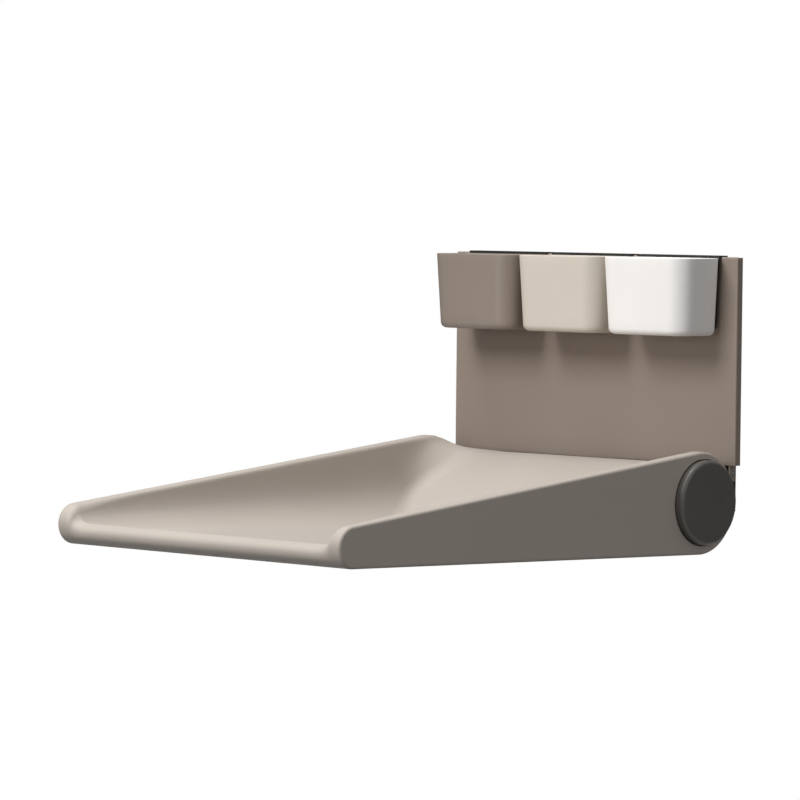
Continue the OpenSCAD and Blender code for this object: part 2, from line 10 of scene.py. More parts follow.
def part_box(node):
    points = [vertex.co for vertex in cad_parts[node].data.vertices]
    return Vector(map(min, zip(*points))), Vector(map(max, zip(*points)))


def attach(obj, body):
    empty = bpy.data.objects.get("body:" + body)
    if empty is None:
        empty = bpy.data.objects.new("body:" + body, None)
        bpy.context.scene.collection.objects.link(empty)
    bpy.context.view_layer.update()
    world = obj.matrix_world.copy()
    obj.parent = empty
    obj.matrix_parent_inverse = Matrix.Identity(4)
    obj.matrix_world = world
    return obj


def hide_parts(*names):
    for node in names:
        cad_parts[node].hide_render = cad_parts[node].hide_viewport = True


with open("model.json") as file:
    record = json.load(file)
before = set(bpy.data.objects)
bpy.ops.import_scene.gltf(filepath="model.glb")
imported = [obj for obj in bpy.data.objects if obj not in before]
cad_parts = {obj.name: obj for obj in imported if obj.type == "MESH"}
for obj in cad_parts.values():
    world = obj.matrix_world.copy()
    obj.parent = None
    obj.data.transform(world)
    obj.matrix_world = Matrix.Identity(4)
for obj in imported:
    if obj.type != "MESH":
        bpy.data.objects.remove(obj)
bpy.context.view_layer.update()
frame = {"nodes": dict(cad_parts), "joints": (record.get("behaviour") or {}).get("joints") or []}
MM = 0.001

# ---------------------------------------------------------------- camera and studio
# A long lens from the front right, just above the tray. Two large soft lamps stand in front and
# overhead, two weak ones low in front and at the right, and the surroundings are dim, so the side
# faces stay darker. A pale floor lies far below, and it throws no bounced light up at the table.
heading, dip, tilt = radians(44.0572), radians(2.6197), radians(0.6016)
ahead = Vector((-sin(heading) * cos(dip), cos(heading) * cos(dip), -sin(dip)))
level = Vector((cos(heading), sin(heading), 0))
above = level.cross(ahead)
right = level * cos(tilt) + above * sin(tilt)
upward = above * cos(tilt) - level * sin(tilt)
stand = Vector((4.49774, -5.09335, 0.26693))
camera = bpy.data.objects.new("camera", bpy.data.cameras.new("camera"))
bpy.context.scene.collection.objects.link(camera)
camera.matrix_world = Matrix((
    (right.x, upward.x, -ahead.x, stand.x),
    (right.y, upward.y, -ahead.y, stand.y),
    (right.z, upward.z, -ahead.z, stand.z),
    (0, 0, 0, 1),
))
camera.data.sensor_width = 36
camera.data.lens = 196.79
bpy.context.scene.camera = camera
bpy.context.scene.view_settings.view_transform = "Standard"


def lamp(name, place, aim, size, power):
    """Adds a square area lamp of that size at a place, facing a point."""
    light = bpy.data.lights.new(name, "AREA")
    light.size, light.energy = size, power
    holder = bpy.data.objects.new(name, light)
    bpy.context.scene.collection.objects.link(holder)
    turn = (Vector(aim) - Vector(place)).to_track_quat("-Z", "Y").to_matrix().to_4x4()
    holder.matrix_world = Matrix.Translation(place) @ turn


lamp("front_lamp", (-0.3, -3.2, 2.2), (0, -0.3, 0), 1.6, 90)
lamp("top_lamp", (-0.4, -0.7, 3.0), (0, -0.4, -0.1), 1.8, 66)
lamp("low_lamp", (-0.9, -3.7, 0.0), (0, -0.3, 0), 1.6, 18)
lamp("side_lamp", (3.4, -0.9, 0.5), (0.2, -0.3, 0), 2.0, 17)

world = bpy.data.worlds.new("studio")
world.use_nodes = True
bpy.context.scene.world = world
sky = world.node_tree
seen, shining = sky.nodes["Background"], sky.nodes.new("ShaderNodeBackground")
shining.inputs["Color"].default_value = (1, 1, 1, 1)
seen.inputs["Color"].default_value = (1, 1, 1, 1)
seen.inputs["Strength"].default_value = 1
rays, choice = sky.nodes.new("ShaderNodeLightPath"), sky.nodes.new("ShaderNodeMixShader")
sky.links.new(rays.outputs["Is Camera Ray"], choice.inputs["Fac"])
way, height = sky.nodes.new("ShaderNodeTexCoord"), sky.nodes.new("ShaderNodeSeparateXYZ")
fade = sky.nodes.new("ShaderNodeMapRange")
fade.inputs["From Min"].default_value, fade.inputs["From Max"].default_value = -0.3, 0.5
fade.inputs["To Min"].default_value, fade.inputs["To Max"].default_value = 0.04, 0.3
sky.links.new(way.outputs["Generated"], height.inputs[0])
sky.links.new(height.outputs["Z"], fade.inputs["Value"])
sky.links.new(fade.outputs[0], shining.inputs["Strength"])
sky.links.new(shining.outputs[0], choice.inputs[1])
sky.links.new(seen.outputs[0], choice.inputs[2])
sky.links.new(choice.outputs[0], sky.nodes["World Output"].inputs["Surface"])


class Value:
    """One socket of a finish, so that shader maths reads as a Python expression."""

    def __init__(self, finish, socket):
        self.finish, self.socket = finish, socket

    def __add__(self, other):
        return self.finish.node("ShaderNodeMath", {0: self, 1: other}, operation="ADD")

    def __sub__(self, other):
        return self.finish.node("ShaderNodeMath", {0: self, 1: other}, operation="SUBTRACT")

    def __mul__(self, other):
        return self.finish.node("ShaderNodeMath", {0: self, 1: other}, operation="MULTIPLY")

    __radd__, __rmul__ = __add__, __mul__


class Finish:
    """A material while it is mixed: its object coordinates, its shader, and any node from its type."""

    def __init__(self, name, **settings):
        self.made = bpy.data.materials.new(name)
        self.made.use_nodes = True
        self.tree = self.made.node_tree
        self.shader = self.tree.nodes["Principled BSDF"]
        self.place = self.node("ShaderNodeTexCoord", {}, out="Object")
        self.set(settings)

    def set(self, sockets, node=None):
        """Gives sockets of a node, or of the shader, their values or links."""
        for key, given in sockets.items():
            key = key.replace("_", " ") if isinstance(key, str) else key
            socket = (node or self.shader).inputs[key]
            if isinstance(given, Value):
                self.tree.links.new(given.socket, socket)
            else:
                socket.default_value = given

    def node(self, kind, sockets, out=0, **settings):
        """Adds a node of that type: its settings first, then its sockets; gives one output."""
        made = self.tree.nodes.new(kind)
        for key, given in settings.items():
            setattr(made, key, given)
        self.set(sockets, made)
        return Value(self, made.outputs[out])

    def noise(self, scale, detail=3, roughness=0.5, place=None):
        """Smooth noise from 0 to 1, with that many cells to a metre."""
        sockets = {"Vector": place or self.place, "Scale": scale, "Detail": detail}
        return self.node("ShaderNodeTexNoise", {**sockets, "Roughness": roughness}, out="Fac")

    def between(self, share, low, high):
        """A colour that goes from one to the other as share goes from 0 to 1."""
        mixed = self.tree.nodes.new("ShaderNodeMix")
        mixed.data_type = "RGBA"
        for key, given in ((0, share), (6, low), (7, high)):
            if isinstance(given, Value):
                self.tree.links.new(given.socket, mixed.inputs[key])
            else:
                mixed.inputs[key].default_value = given if key == 0 else (*given[:3], 1)
        return Value(self, mixed.outputs[2])

    def relief(self, height, depth, strength=1.0):
        """Feeds a height from 0 to 1 into the shader's normal, that deep in metres."""
        sockets = {"Height": height, "Distance": depth, "Strength": strength}
        self.set({"Normal": self.node("ShaderNodeBump", sockets, out="Normal")})


def paint(red, green, blue):
    """A screen colour from 0 to 255 as the light it stands for."""
    shown = np.array([red, green, blue]) / 255
    light = np.where(shown > 0.04, ((shown + 0.055) / 1.055) ** 2.4, shown / 12.92)
    return tuple(float(channel) for channel in light)


def surface(name, *patches):
    """One mesh from patches, each a grid of points in metres (rows, columns, 3) whose cells become
    quads: the four corners of a cell are its point and the next ones along each way. Corners that
    fall together are merged, which closes seams and poles."""
    points, faces, start = [], [], 0
    for grid in patches:
        rows, columns = grid.shape[:2]
        index = start + np.arange(rows * columns).reshape(rows, columns)
        cells = np.stack([index[:-1, :-1], index[:-1, 1:], index[1:, 1:], index[1:, :-1]], -1)
        faces += cells.reshape(-1, 4).tolist()
        points.append(grid.reshape(-1, 3))
        start += rows * columns
    mesh = bpy.data.meshes.new(name)
    mesh.from_pydata(np.concatenate(points).tolist(), [], faces)
    work = bmesh.new()
    work.from_mesh(mesh)
    bmesh.ops.remove_doubles(work, verts=work.verts, dist=0.01 * MM)
    bmesh.ops.dissolve_degenerate(work, edges=work.edges, dist=0.005 * MM)
    bmesh.ops.recalc_face_normals(work, faces=work.faces)
    work.to_mesh(mesh)
    work.free()
    mesh.shade_smooth()
    piece = bpy.data.objects.new(name, mesh)
    bpy.context.scene.collection.objects.link(piece)
    return piece


reach = 2.3
floor_high = -1.15
across, along = np.meshgrid(np.linspace(-reach, reach, 3), np.linspace(-reach, reach, 3))
studio_floor = surface("studio_floor", np.stack([across, along, np.full_like(across, floor_high)], -1))
pale = Finish("pale_floor", Roughness=0.9)
pale.set({"Base Color": pale.between(pale.noise(3), paint(238, 238, 237), paint(246, 246, 245))})
studio_floor.data.materials.append(pale.made)
studio_floor.visible_diffuse = False

# ---------------------------------------------------------------- wall plate, hooks and hinge arms
# Laser-cut and bent steel, powder coated satin black: a flat plate screwed to the wall, folded hooks
# that the panel hangs on, and two arms that carry the tray. The box hook strips have the same coat.


def dress(finish, *names):
    """Gives CAD nodes a finish."""
    for name in names:
        node = frame["nodes"][name]
        node.data.materials.clear()
        node.data.materials.append(finish.made)


def powder_coat(name, dark, light, roughness):
    """Powder coat: a faint orange peel, fine specks, and a colour that drifts a little over the sheet."""
    coat = Finish(name, IOR=1.5)
    drift, speck, peel = coat.noise(7, 2), coat.noise(2600, 2, 0.6), coat.noise(620, 3, 0.55)
    coat.set({"Base Color": coat.between(drift * 0.7 + speck * 0.3, dark, light)})
    coat.set({"Roughness": roughness + 0.08 * (speck - 0.5) + 0.05 * (drift - 0.5)})
    coat.relief(peel * 0.7 + speck * 0.3, 0.05 * MM, 0.6)
    return coat


black_coat = powder_coat("bracket_black", paint(30, 29, 27), paint(46, 44, 41), 0.45)
dress(black_coat, "wall_plate", "hanger_hooks", "hinge_arm_left", "hinge_arm_right",
      "hook_left", "hook_middle", "hook_right")

# ---------------------------------------------------------------- fasteners, frame and stops
# Zinc-plated screws, bolts, rivets, stop blocks and the welded frame of tube, bars and gussets
# that is moulded into the tray.


def metal(name, dark, light, roughness, grain):
    """Bare metal: fine brushed grain across X, and cloudy patches in its shine."""
    bare = Finish(name, Metallic=1.0)
    stretched = bare.node("ShaderNodeMapping", {"Vector": bare.place, "Scale": (0.08, 1, 1)})
    brushed, cloud = bare.noise(grain, 3, 0.6, stretched), bare.noise(90, 2)
    bare.set({"Base Color": bare.between(cloud * 0.6 + brushed * 0.4, dark, light)})
    bare.set({"Roughness": roughness + 0.16 * (cloud - 0.5) + 0.1 * (brushed - 0.5)})
    bare.relief(brushed, 0.02 * MM, 0.4)
    return bare


zinc = metal("zinc_steel", paint(150, 152, 154), paint(190, 192, 193), 0.38, 1500)
dress(zinc, "arm_bolts", "damper_screws", "panel_screws", "torque_tube", "frame_rails",
      "frame_gussets", "pan_screws", "stop_blocks", "stop_screws",
      "rivets_left", "rivets_middle", "rivets_right")

# Rubber pads on the stops, and the bumpers that hold each box off the panel.
rubber = Finish("pad_rubber")
dust = rubber.noise(240, 4)
rubber.set({"Base Color": rubber.between(dust, paint(24, 24, 24), paint(38, 37, 36))})
rubber.set({"Roughness": 0.75 + 0.15 * (dust - 0.5)})
rubber.relief(rubber.noise(1800, 2), 0.04 * MM, 0.6)
dress(rubber, "stop_pads", "bumpers_left", "bumpers_middle", "bumpers_right")

# ---------------------------------------------------------------- pivots and dampers
# Ground stub shafts pressed into the tube, plain plastic bushes in the arms, washers, spring clips
# and a sealed rotary damper screwed to the outside of each arm.
dress(metal("shaft_steel", paint(196, 198, 200), paint(222, 223, 224), 0.2, 2400),
      "pivot_shaft_left", "pivot_shaft_right", "pivot_washers")
dress(metal("spring_steel", paint(54, 54, 56), paint(78, 78, 80), 0.35, 1800), "pivot_clips")


def moulding(name, dark, light, roughness, peel, depth):
    """Moulded plastic: a fine spark-eroded texture, slight flow marks, and an even satin shine."""
    shell = Finish(name, IOR=1.48)
    flow, fine = shell.noise(11, 2, 0.4), shell.noise(peel, 3, 0.6)
    shell.set({"Base Color": shell.between(flow * 0.75 + fine * 0.25, dark, light)})
    shell.set({"Roughness": roughness + 0.07 * (fine - 0.5) + 0.06 * (flow - 0.5)})
    shell.relief(fine, depth, 0.5)
    return shell


dress(moulding("bearing_plastic", paint(210, 206, 192), paint(224, 221, 208), 0.4, 1500, 0.03 * MM),
      "pivot_bush_left", "pivot_bush_right")
dress(moulding("damper_black", paint(40, 41, 43), paint(54, 55, 57), 0.5, 1700, 0.05 * MM),
      "damper_left", "damper_right")

# ---------------------------------------------------------------- back panel
# One powder-coated steel sheet, 1.5 mm thick. Its top and sides are folded back with tight bends and
# mitred at the corners; a lug below each side edge is screwed to the wall plate's ear.
panel_low, panel_high = (np.array(corner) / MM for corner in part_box("back_panel"))
sheet_thick, bend, corner_turn, fold_deep, below_rails = 1.5, 2.2, 1.1, 12, 40
panel_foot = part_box("panel_rails")[0].z / MM - below_rails
fold_back = panel_low[1] + fold_deep
side_points, top_points, corner_points = 40, 60, 5


def turned(centre, radius, start, stop, count):
    """Points on a circle's arc from one angle to another, in degrees."""
    angle = np.radians(np.linspace(start, stop, count))
    return np.array(centre) + radius * np.stack([np.cos(angle), np.sin(angle)], -1)


half, top = panel_high[0], panel_high[2]


def panel_path(inset, corner):
    """Outline of the panel as (across, height): up the left side, along the top and down the right side
    at a distance inside its edge, with its two upper corners rounded."""
    side, high = half - inset, top - inset
    rise = np.linspace(panel_foot, high - corner, side_points)
    run = np.linspace(-side + corner, side - corner, top_points)
    return np.concatenate([
        np.stack([np.full(side_points, -side), rise], -1)[:-1],
        turned((-side + corner, high - corner), corner, 180, 90, corner_points),
        np.stack([run, np.full(top_points, high)], -1)[1:-1],
        turned((side - corner, high - corner), corner, 90, 0, corner_points),
        np.stack([np.full(side_points, side), rise[::-1]], -1)[1:],
    ])


def panel_row(inset, corner, back):
    """The outline at an inset, that far behind the panel's front."""
    line = panel_path(inset, corner)
    return np.stack([line[:, 0], np.full(len(line), panel_low[1] + back), line[:, 1]], -1) * MM


round_off = np.radians(np.linspace(0, 90, 8))
face_insets = (3.5, 8, 20, 60, 120, 180, 240, half)
panel_front = np.stack(
    [panel_row(bend * (1 - cos(turn)), corner_turn, bend * (1 - sin(turn))) for turn in round_off]
    + [panel_row(inset, max(corner_turn - 0.02 * inset, 0), 0) for inset in face_insets])
folded = np.stack([panel_row(0, corner_turn, back) for back in np.linspace(fold_back - panel_low[1], bend, 5)])
top_start = side_points + corner_points - 2
right_start = side_points + top_points + corner_points
flanges = [folded[:, run] for run in (
    slice(0, side_points), slice(top_start, top_start + top_points - 1), slice(right_start, None))]
lug_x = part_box("panel_screws")[1].x / MM - 2
lug_low, lug_high = panel_low[2], panel_foot + 8
lugs = []
for hand in (-1, 1):
    depth_line, height_line = np.meshgrid(np.linspace(panel_low[1] + 0.8, -3, 6),
                                          np.linspace(lug_low, lug_high, 9))
    lugs.append(np.stack([np.full_like(depth_line, hand * lug_x), depth_line, height_line], -1) * MM)
panel = surface("panel_sheet", panel_front, *flanges, *lugs)
thicken = panel.modifiers.new("sheet", "SOLIDIFY")
thicken.thickness, thicken.offset = sheet_thick * MM, -1
soften = panel.modifiers.new("edge", "BEVEL")
soften.width, soften.segments, soften.limit_method = 0.3 * MM, 2, "ANGLE"
panel_coat = powder_coat("panel_taupe", paint(139, 125, 114), paint(147, 133, 122), 0.5)
panel.data.materials.append(panel_coat.made)
dress(panel_coat, "panel_rails")
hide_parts("back_panel")
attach(panel, "wall_unit")

# ---------------------------------------------------------------- tray
# One piece of moulded polyurethane foam with a closed, matt skin: level floor, sides that rise towards
# the wall, a low rounded lip in front and a slope up to the rear edge. It is foamed round its steel
# frame, and turns on the arms that pass through a slot behind each side cap.
pivot = np.array(frame["joints"][0]["pos_m"])
half_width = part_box("tray_shell")[1].x / MM
lean_up = radians(1.36)
rear_centre, rear_round = np.array([-3, -1.4]), 77
nose_centre, nose_round = np.array([-739, -48.4]), 30
underside = rear_centre[1] - rear_round
run_up = rear_centre - nose_centre
rim_turn = np.degrees(pi / 2 + atan2(run_up[1], run_up[0]) + asin((rear_round - nose_round) / hypot(*run_up)))
floor_level, edge_round = -59.1, 4.5
inner_half = half_width - 20
rear_edge_level, lip_hollow, lip_reach = 55, 185, 56
slope_from, slope_run, slope_hollow, slope_rise = -165, 90.1, 150, 0.751
shoulder_half, shoulder_narrowing, shoulder_from = 272, 0.6147, -72


def soft_lower(first, second, blend):
    """The lower of two heights, rounded off where they cross."""
    share = np.clip(0.5 + 0.5 * (second - first) / blend, 0, 1)
    return second + (first - second) * share - blend * share * (1 - share)


def bed(y):
    """Height of the hollow's middle at a depth: a hollow behind the lip, the level floor, a hollow that
    turns up into the rear slope, and the level rear edge."""
    into_lip, into_slope = np.minimum(y - nose_centre[0] - lip_reach, 0), y - slope_from
    behind_lip = floor_level + lip_hollow - np.sqrt(np.maximum(lip_hollow**2 - into_lip**2, 0))
    turn_up = floor_level + slope_hollow - np.sqrt(slope_hollow**2 - np.clip(into_slope, 0, slope_run) ** 2)
    slope = turn_up + slope_rise * np.maximum(into_slope - slope_run, 0)
    return soft_lower(np.where(y < slope_from, behind_lip, slope), rear_edge_level + 0 * y, 7)


def hollow_round(y):
    """Radius between floor and side wall at a depth, growing towards the wall."""
    return 50 + 0.06 * np.clip(y - nose_centre[0], 0, 700)


def wall(length, y, climbed):
    """Side of the hollow as (across, height), a length along it from the floor: a quarter circle, then
    straight up. Behind the hollow its foot moves inwards over the plan while its head, climbed = 1,
    stays at the rim, so that it turns into the ramp of a rear shoulder."""
    radius = hollow_round(y)
    turn = np.clip(length / radius, 0, pi / 2)
    rise = np.maximum(length - radius * pi / 2, 0)
    out = inner_half - radius * (1 - np.sin(turn))
    plan = shoulder_half - shoulder_narrowing * np.maximum(y - shoulder_from, 0) * (1 - climbed)
    return np.stack([soft_lower(out, plan, 12), floor_level + radius * (1 - np.cos(turn)) + rise], -1)


def wall_length(height, y):
    """Length along the side of the hollow at which it has that height."""
    radius = hollow_round(y)
    low = np.arccos(1 - np.clip((height - floor_level) / radius, 0, 1)) * radius
    return low + np.maximum(height - floor_level - radius, 0)


def bow(first, corner, last, count):
    """Rounded corner as a curve from first to last that bends towards corner."""
    share = np.linspace(0, 1, count)[:, None, None]
    return (1 - share) ** 2 * first + 2 * share * (1 - share) * corner + share**2 * last


def around(points, spread):
    """Points between the first and the last along the rows, spaced by spread."""
    return points[0] + spread[:, None, None] * (points[1] - points[0])


# stations round the side outline: nose, rim, rear end, underside
nose_count, rear_count, straight_count = 34, 66, 118
nose_turn = np.linspace(270, rim_turn, nose_count)
rear_turn = np.linspace(rim_turn, -90, rear_count)
nose_line = turned(nose_centre, nose_round, 270, rim_turn, nose_count)
rear_line = turned(rear_centre, rear_round, rim_turn, -90, rear_count)
steps = np.linspace(0, 1, straight_count + 2)[1:-1]
rim_line = nose_line[-1] + steps[:, None] * (rear_line[0] - nose_line[-1])
under_line = rear_line[-1] + steps[:, None] * (nose_line[0] - rear_line[-1])
outline = np.concatenate([nose_line, rim_line, rear_line, under_line])
facing = np.radians(np.concatenate([nose_turn, np.full(straight_count, rim_turn),
                                    rear_turn, np.full(straight_count, 270)]))
facing = np.stack([np.cos(facing), np.sin(facing)], -1)

# cross sections of the top, from the middle outwards, at the stations from the nose to the rear end
top_run = slice(nose_count - 1, nose_count + straight_count + rear_count)
depth_at, rim_at = outline[top_run].T
past_edge = np.concatenate([np.zeros(straight_count + 1, bool), rear_turn < 0])
bed_at = np.where(past_edge, rim_at, soft_lower(bed(depth_at), rim_at, 6))
bed_at[0] = bed(depth_at[:1])[0]
low_length, high_length = wall_length(bed_at, depth_at), wall_length(rim_at, depth_at)
climb = high_length - low_length
near_lip = np.clip(1 - (depth_at - nose_centre[0]) / 120, 0, 1) ** 2
floor_blend = np.minimum(20, 0.3 * climb)
rim_blend = np.minimum(7 + 9 * near_lip, 0.42 * climb)
foot, head = wall(low_length, depth_at, 0), wall(high_length, depth_at, 1)
foot[:, 1], head[:, 1] = bed_at, rim_at
before_foot = floor_blend + 0.1 * np.maximum(depth_at - shoulder_from, 0)
start_curve = foot - np.stack([before_foot, 0 * before_foot], -1)
rim_inner = head + np.stack([rim_blend * 0.8, 0 * rim_blend], -1)
rim_outer = np.stack([np.full_like(rim_at, half_width - edge_round), rim_at], -1)
middle = np.stack([0 * rim_at, bed_at], -1)
climbed = floor_blend + np.linspace(0, 1, 22)[:, None] * (climb - floor_blend - rim_blend)
climbing = wall(low_length + climbed, depth_at[None], climbed / np.maximum(climb, 0.01))
section = np.concatenate([
    around([middle, start_curve], np.linspace(0, 1, 12) ** 0.8)[:-1],
    bow(start_curve, foot, climbing[0], 12)[:-1],
    climbing[:-1],
    bow(climbing[-1], head, rim_inner, 9)[:-1],
    around([rim_inner, rim_outer], np.linspace(0, 1, 5)),
])
even = np.linspace(0, half_width - edge_round, len(section))[:, None]
ease = np.clip(1 - climb / 8, 0, 1) ** 2
section[..., 0] = section[..., 0] * (1 - ease) + even * ease

# the lip's own profile, from under the nose to the hollow behind it
lip_centre, lip_round, lip_meets = nose_centre - [13.4, 12], 12, 221.8
shared = nose_turn > lip_meets
behind = np.linspace(lip_centre[0] + 1.9, outline[nose_count - 1, 0], 8)
lip_arc = np.concatenate([turned(nose_centre, nose_round, nose_turn[shared][-1], lip_meets, 8)[:-1],
                          turned(lip_centre, lip_round, lip_meets, 90, 60),
                          np.stack([behind, bed(behind)], -1)])
walked = np.concatenate([[0], np.cumsum(np.linalg.norm(np.diff(lip_arc, axis=0), axis=1))])
spots = np.linspace(0, walked[-1], (~shared).sum() + 1)
lip_line = np.concatenate([nose_line[shared], np.stack(
    [np.interp(spots[1:], walked, lip_arc[:, k]) for k in (0, 1)], -1)])
lift = (section[:, 0, 1] - bed_at[0]) / (rim_at[0] - bed_at[0])
nose_part = lip_line[None] + lift[:, None, None] * (nose_line - lip_line)[None]
nose_part = np.concatenate([np.broadcast_to(section[:, :1, :1], (len(section), nose_count, 1)), nose_part], -1)
top_part = np.stack([section[..., 0], np.broadcast_to(depth_at, section.shape[:2]), section[..., 1]], -1)
blend_back = section[:, -1:, 0] + steps * (section[:, :1, 0] - section[:, -1:, 0])
under_part = np.broadcast_to(under_line, (len(section), straight_count, 2))
under_part = np.concatenate([blend_back[..., None], under_part], -1)
inner_grid = np.concatenate([nose_part[:, :-1], top_part, under_part], 1)

# rolled outer edge, then the flat side down to the line between the two end centres
roll = np.radians(np.linspace(0, 90, 9))[1:]
rolled = outline[None] - (edge_round * (1 - np.cos(roll)))[:, None, None] * facing[None]
rolled = np.concatenate([np.broadcast_to((half_width - edge_round * (1 - np.sin(roll)))[:, None, None],
                                         (len(roll), len(outline), 1)), rolled], -1)
between_ends = np.concatenate([[0], steps, [1]])
along_spine = np.concatenate([np.zeros(nose_count - 1), between_ends, np.ones(rear_count - 2),
                              between_ends[:0:-1]])
spine = nose_centre + along_spine[:, None] * run_up
shrink = np.array([0.985, 0.93, 0.8, 0.6, 0.4, 0.2, 0.0])[:, None, None]
flat_side = spine[None] + shrink * (rolled[-1][None, :, 1:] - spine[None])
flat_side = np.concatenate([np.full((len(shrink), len(outline), 1), half_width), flat_side], -1)
half_grid = np.concatenate([inner_grid, rolled, flat_side])
half_grid = np.concatenate([half_grid, half_grid[:, :1]], 1)
whole = np.concatenate([half_grid[::-1] * [-1, 1, 1], half_grid[1:]])
turned_up = whole.copy()
turned_up[..., 1] = whole[..., 1] * cos(lean_up) + whole[..., 2] * sin(lean_up)
turned_up[..., 2] = whole[..., 2] * cos(lean_up) - whole[..., 1] * sin(lean_up)
tray = surface("tray_body", turned_up * MM + pivot)


def prism(name, outline_yz, low, high):
    """A closed block: an outline in Y and Z, round the pivot, carried along X from low to high, with
    each end closed towards the outline's middle."""
    ring = np.concatenate([outline_yz, outline_yz[:1]])
    centre = np.broadcast_to(outline_yz.mean(0), ring.shape)
    rows = [(centre, low), (ring, low), (ring, high), (centre, high)]
    grid = np.stack([np.concatenate([np.full((len(ring), 1), x), line], -1) for line, x in rows])
    return surface(name, grid * MM + pivot)


def carve(piece, cutters):
    """Takes closed blocks away from a piece for good, and removes the blocks."""
    for cutter in cutters:
        cut = piece.modifiers.new("cut", "BOOLEAN")
        cut.object, cut.operation, cut.solver = cutter, "DIFFERENCE", "EXACT"
    graph = bpy.context.evaluated_depsgraph_get()
    carved = bpy.data.meshes.new_from_object(piece.evaluated_get(graph))
    piece.modifiers.clear()
    piece.data = carved
    for cutter in cutters:
        bpy.data.objects.remove(cutter)


slot_reach, slot_half, hub_clear = 150, 13, 41
pinch = np.degrees(asin(slot_half / hub_clear))
arm_low, arm_high = -17, 71
low_way, high_way = (np.array([cos(radians(a)), sin(radians(a))]) for a in (arm_low, arm_high))
slot_outline = np.concatenate([
    turned((0, 0), hub_clear, arm_high + pinch, 360 + arm_low - pinch, 40),
    [slot_reach * low_way + slot_half * np.array([low_way[1], -low_way[0]])],
    turned((0, 0), slot_reach, arm_low - 4, arm_high + 4, 12),
    [slot_reach * high_way + slot_half * np.array([-high_way[1], high_way[0]])],
])
cap_low, cap_high = (np.array(corner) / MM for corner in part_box("cap_right"))
cap_radius, cap_face = (cap_high[2] - cap_low[2]) / 2, cap_high[0]
cap_gap, recess_floor, slot_floor, outside = 1.7, 279, 269, 330
cap_recess = turned((0, 0), cap_radius + cap_gap, 0, 360, 161)[:-1]
pan_front, pan_rear, pan_under, pan_over = -690.6, -59.4, underside - 5, underside + 2
pan_inset = 75.4
pan_pocket = np.array([(pan_front, pan_under), (pan_rear, pan_under),
                       (pan_rear, pan_over), (pan_front, pan_over)])
pan_pocket = np.stack([pan_pocket[:, 0] * cos(lean_up) + pan_pocket[:, 1] * sin(lean_up),
                       pan_pocket[:, 1] * cos(lean_up) - pan_pocket[:, 0] * sin(lean_up)], -1)
cutters = [prism("pan_pocket", pan_pocket, -half_width + pan_inset, half_width - pan_inset)]
for hand, word in ((-1, "left"), (1, "right")):
    for label, shape, low, high in (("recess", cap_recess, recess_floor, outside),
                                    ("slot", slot_outline, slot_floor, recess_floor + 0.5)):
        near, far_side = sorted((hand * low, hand * high))
        cutters.append(prism(f"{label}_{word}", shape, near, far_side))
carve(tray, cutters)
tray.data.set_sharp_from_angle(angle=radians(38))

foam = Finish("tray_foam", IOR=1.45)
foam.set({"Sheen Weight": 0.05, "Sheen Roughness": 0.6})
cloudy, pores, grain = foam.noise(5, 3, 0.5), foam.noise(1900, 2, 0.5), foam.noise(520, 4, 0.6)
foam.set({"Base Color": foam.between(cloudy * 0.7 + grain * 0.3, paint(173, 164, 155), paint(183, 174, 165))})
foam.set({"Roughness": 0.58 + 0.1 * (grain - 0.5) + 0.08 * (cloudy - 0.5)})
foam.relief(grain * 0.6 + pores * 0.4, 0.07 * MM, 0.5)
tray.data.materials.clear()
tray.data.materials.append(foam.made)
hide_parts("tray_shell")
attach(tray, "tray")

# Flush plastic cover that closes the underside over the frame, held by eight screws.
dress(moulding("pan_grey", paint(108, 100, 92), paint(118, 110, 102), 0.55, 1300, 0.05 * MM), "under_pan")

# ---------------------------------------------------------------- side caps
# Two moulded dark caps pressed into the tray's round recesses by three studs each. They hide the
# dampers, stand proud of the side, and have a soft rounded edge.
cap_coat = moulding("cap_dark", paint(88, 85, 81), paint(96, 93, 88), 0.42, 1500, 0.05 * MM)
cap_back, wall_thick, cap_round = 281, 4, 6
stud_circle, stud_radius, stud_tip = 54, 4, 271
inner_face = cap_face - wall_thick
for hand, word in ((-1, "left"), (1, "right")):
    profile = np.concatenate([
        [[cap_face - 0.25, 0], [cap_face - 0.25, 20], [cap_face - 0.1, 48]],
        turned((cap_face - cap_round, cap_radius - cap_round), cap_round, 0, 90, 14),
        [[cap_back + 3, cap_radius]],
        turned((cap_back + 1, cap_radius - 1), 1, 90, 180, 4),
        [[cap_back, cap_radius - wall_thick], [inner_face - 3, cap_radius - wall_thick]],
        turned((inner_face - 3, cap_radius - wall_thick - 3), 3, 90, 0, 5)[1:],
        [[inner_face, 30], [inner_face, 0]],
    ])
    spin = np.radians(np.linspace(0, 360, 129))
    lathe = np.stack([np.broadcast_to(hand * profile[:, :1], (len(profile), 129)),
                      profile[:, 1:] * np.cos(spin), profile[:, 1:] * np.sin(spin)], -1)
    studs = []
    for angle in (125, 195, 265):
        centre = stud_circle * np.array([cos(radians(angle)), sin(radians(angle))])
        rows = [(0, stud_tip), (stud_radius - 0.8, stud_tip), (stud_radius, stud_tip + 1),
                (stud_radius, inner_face + 1), (0, inner_face + 1)]
        ring = np.radians(np.linspace(0, 360, 25))
        studs.append(np.stack([np.stack([np.full(25, hand * x), centre[0] + r * np.cos(ring),
                                         centre[1] + r * np.sin(ring)], -1) for r, x in rows]))
    cap = surface(f"side_cap_{word}", *(patch * MM + pivot for patch in (lathe, *studs)))
    cap.data.set_sharp_from_angle(angle=radians(50))
    cap.data.materials.append(cap_coat.made)
    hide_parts(f"cap_{word}")
    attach(cap, "tray")

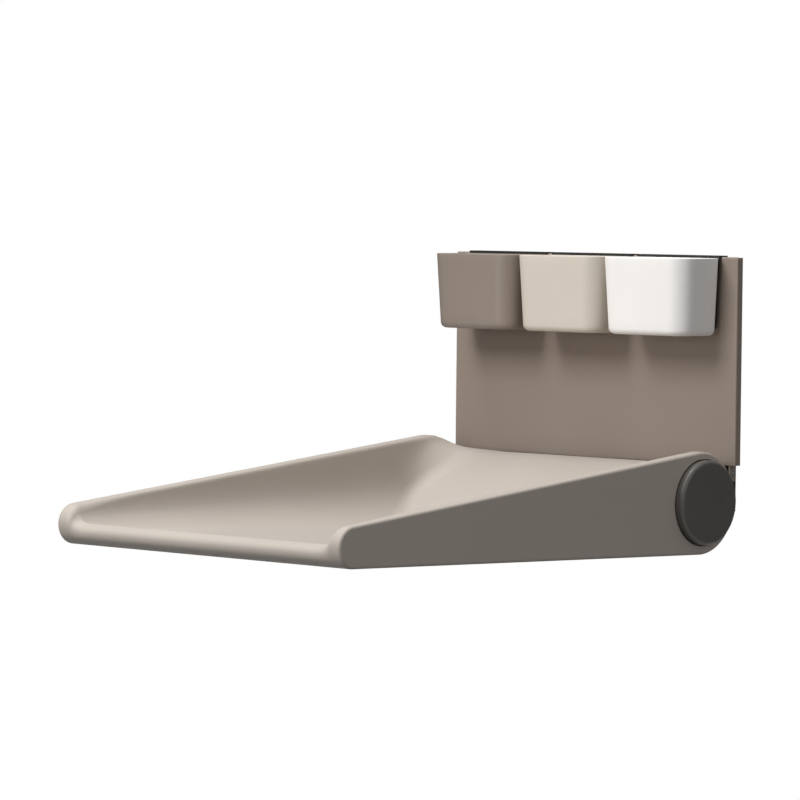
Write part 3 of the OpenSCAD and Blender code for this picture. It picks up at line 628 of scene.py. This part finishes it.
# ---------------------------------------------------------------- storage boxes
# Three moulded boxes with thin drafted walls, large front corners and a rounded base, each riveted
# to a folded strip that hooks over the panel's edge. They are taupe, beige and warm white.
box_low, box_high = (np.array(corner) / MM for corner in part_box("box_middle"))
rim_half, box_front, box_back = box_high[0], box_low[1], box_high[1]
box_foot, box_top = box_low[2], box_high[2]
draft, base_round, corner_round, thick = 6, 9, 30, 2.5


def box_ring(shrink_by, drop, height):
    """Outline of a box from above at a height, closed: large corners in front and small ones behind.
    It is made smaller all round by shrink_by, and by drop on all sides but the rear."""
    side, front, back = rim_half - shrink_by - drop, box_front + shrink_by + drop, box_back - shrink_by
    front_round = max(corner_round - shrink_by - 0.3 * drop, 2)
    back_round = max(corner_round / 3 - shrink_by, 1)
    spots = (
        (side - front_round, front + front_round, front_round, -90),
        (side - back_round, back - back_round, back_round, 0),
        (-side + back_round, back - back_round, back_round, 90),
        (-side + front_round, front + front_round, front_round, 180),
    )
    arcs = [turned((x, y), r, a, a + 90, 11) for x, y, r, a in spots]
    straight = np.linspace(0, 1, 8)[1:-1, None]
    parts = []
    for arc, after in zip(arcs, arcs[1:] + arcs[:1]):
        parts += [arc, arc[-1] + straight * (after[0] - arc[-1])]
    ring = np.concatenate([*parts, arcs[0][:1]])
    return np.concatenate([ring, np.full((len(ring), 1), height)], -1)


def box_shell(offset):
    """A box about X = offset: the outline carried up outside from the middle of the base, over the
    rounded rim, and down inside to the middle of the floor."""
    rows = []
    span = box_top - box_foot
    for share in (1, 0.7, 0.4, 0.15):
        rows.append(box_ring(0, draft + base_round, box_foot) * [1 - share, 1 - share, 1]
                    + share * np.array([0, (box_front + box_back) / 2, 0]))
    for angle in np.radians(np.linspace(0, 90, 9)):
        up = base_round * (1 - cos(angle))
        rows.append(box_ring(base_round * (1 - sin(angle)), draft * (1 - up / span), box_foot + up))
    for share in np.linspace(0, 1, 10)[1:]:
        up = base_round + share * (span - base_round - thick / 2)
        rows.append(box_ring(0, draft * (1 - up / span), box_foot + up))
    for angle in np.radians(np.linspace(0, 180, 9))[1:-1]:
        rows.append(box_ring(thick / 2 * (1 - cos(angle)), 0, box_top - thick / 2 * (1 - sin(angle))))
    for share in np.linspace(1, 0, 10):
        up = base_round + share * (span - base_round - thick / 2)
        rows.append(box_ring(thick, draft * (1 - up / span), box_foot + up))
    for angle in np.radians(np.linspace(90, 0, 7))[1:]:
        up = thick + (base_round - thick) * (1 - cos(angle))
        rows.append(box_ring(thick + (base_round - thick) * (1 - sin(angle)), draft, box_foot + up))
    for share in (0.15, 0.4, 0.7, 1):
        rows.append(box_ring(base_round, draft, box_foot + thick) * [1 - share, 1 - share, 1]
                    + share * np.array([0, (box_front + box_back) / 2, 0]))
    return (np.stack(rows) + [offset, 0, 0]) * MM


for word, body, slot_name, dark, light in (
    ("left", "left_box", "box_taupe", paint(138, 126, 116), paint(145, 133, 123)),
    ("middle", "middle_box", "box_beige", paint(206, 197, 185), paint(212, 203, 191)),
    ("right", "right_box", "box_white", paint(243, 240, 237), paint(247, 245, 242)),
):
    low, high = (np.array(corner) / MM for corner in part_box(f"box_{word}"))
    storage = surface(f"storage_box_{word}", box_shell((low[0] + high[0]) / 2))
    storage.data.materials.append(moulding(slot_name, dark, light, 0.45, 1200, 0.03 * MM).made)
    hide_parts(f"box_{word}")
    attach(storage, body)
